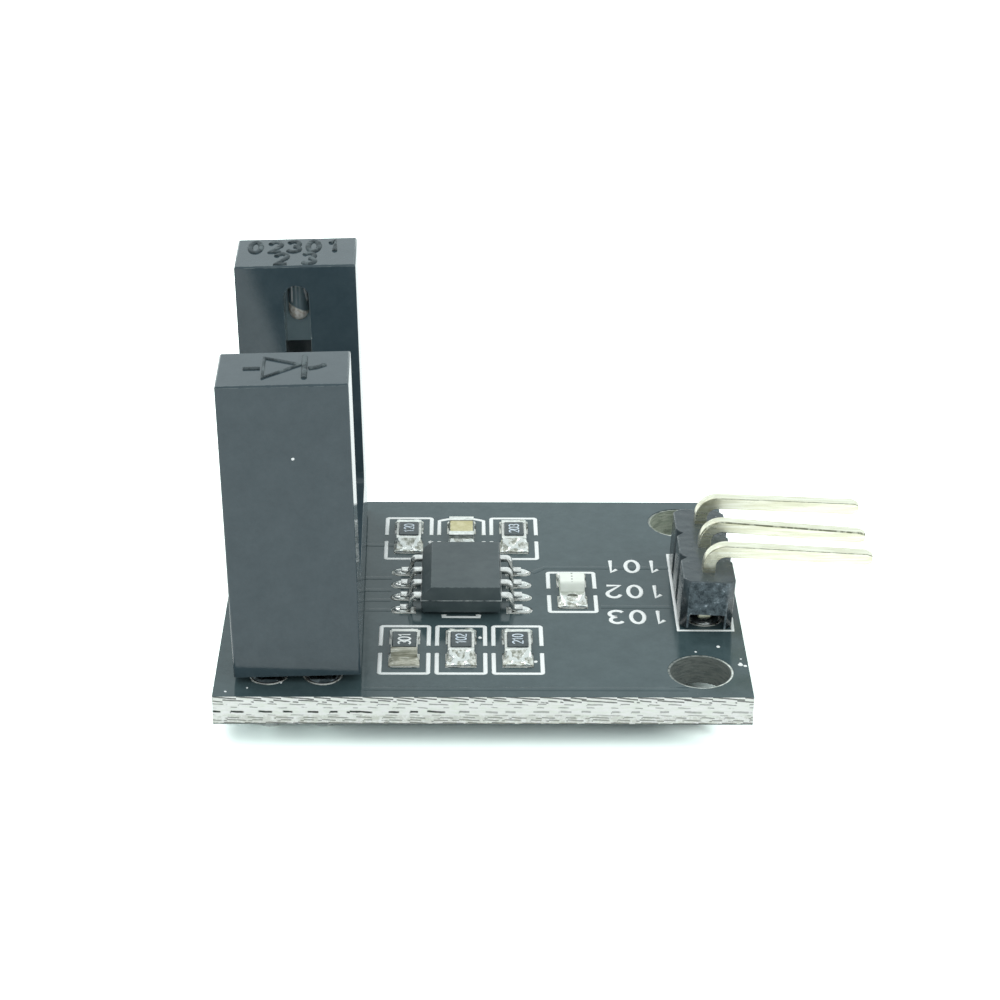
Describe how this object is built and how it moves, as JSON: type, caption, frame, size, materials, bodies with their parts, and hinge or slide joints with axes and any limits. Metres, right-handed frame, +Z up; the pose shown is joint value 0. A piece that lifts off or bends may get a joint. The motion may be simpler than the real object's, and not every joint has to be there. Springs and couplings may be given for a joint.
{
  "type": "infrared slot sensor module",
  "caption": "Fork-shaped infrared light barrier soldered to a small black circuit board with a comparator, chip parts, an indicator light and a bent pin header.",
  "frame": {"origin": "midway between the two mounting holes, on the underside of the board", "axes": "+X towards the pin header's arms, +Y from front to back along the light beam, +Z up through the board"},
  "size_m": [0.0313, 0.0198, 0.0179],
  "materials": {
    "fibreglass": "sawn glass-fibre laminate, layered edge",
    "black_mask": "glossy black solder mask",
    "white_legend": "printed white ink",
    "tinned_copper": "tinned copper",
    "housing_plastic": "fine moulded black plastic",
    "clear_epoxy": "clear epoxy",
    "dark_epoxy": "dark tinted epoxy",
    "solder": "hand-finished tin solder",
    "lead_metal": "tinned lead frame",
    "chip_plastic": "moulded epoxy",
    "white_ceramic": "alumina",
    "black_glaze": "black glaze",
    "band_metal": "tinned end bands",
    "tan_ceramic": "fired ceramic",
    "led_substrate": "thin laminate",
    "led_resin": "clear resin",
    "header_plastic": "moulded black plastic",
    "pin_metal": "bright tin over brass"
  },
  "bodies": {
    "root": {"board": "fibreglass", "mask_top": "black_mask", "mask_bottom": "black_mask", "legend": "white_legend", "chip_pads": "tinned_copper", "comparator_pads": "tinned_copper", "sensor_platings": "tinned_copper", "header_platings": "tinned_copper", "sensor_housing": "housing_plastic", "emitter": "clear_epoxy", "detector": "dark_epoxy", "sensor_lead_1": "lead_metal", "sensor_lead_2": "lead_metal", "sensor_lead_3": "lead_metal", "sensor_lead_4": "lead_metal", "sensor_solder": "solder", "comparator_body": "chip_plastic", "comparator_lead_1": "lead_metal", "comparator_lead_2": "lead_metal", "comparator_lead_3": "lead_metal", "comparator_lead_4": "lead_metal", "comparator_lead_5": "lead_metal", "comparator_lead_6": "lead_metal", "comparator_lead_7": "lead_metal", "comparator_lead_8": "lead_metal", "comparator_solder": "solder", "resistor_1_body": "white_ceramic", "resistor_1_glaze": "black_glaze", "resistor_1_bands": "band_metal", "resistor_2_body": "white_ceramic", "resistor_2_glaze": "black_glaze", "resistor_2_bands": "band_metal", "resistor_3_body": "white_ceramic", "resistor_3_glaze": "black_glaze", "resistor_3_bands": "band_metal", "resistor_4_body": "white_ceramic", "resistor_4_glaze": "black_glaze", "resistor_4_bands": "band_metal", "resistor_5_body": "white_ceramic", "resistor_5_glaze": "black_glaze", "resistor_5_bands": "band_metal", "capacitor_body": "tan_ceramic", "capacitor_bands": "band_metal", "led_base": "led_substrate", "led_lens": "led_resin", "led_bands": "band_metal", "chip_solder": "solder", "header_body": "header_plastic", "header_pin_1": "pin_metal", "header_pin_2": "pin_metal", "header_pin_3": "pin_metal", "header_solder": "solder"}
  },
  "joints": []
}
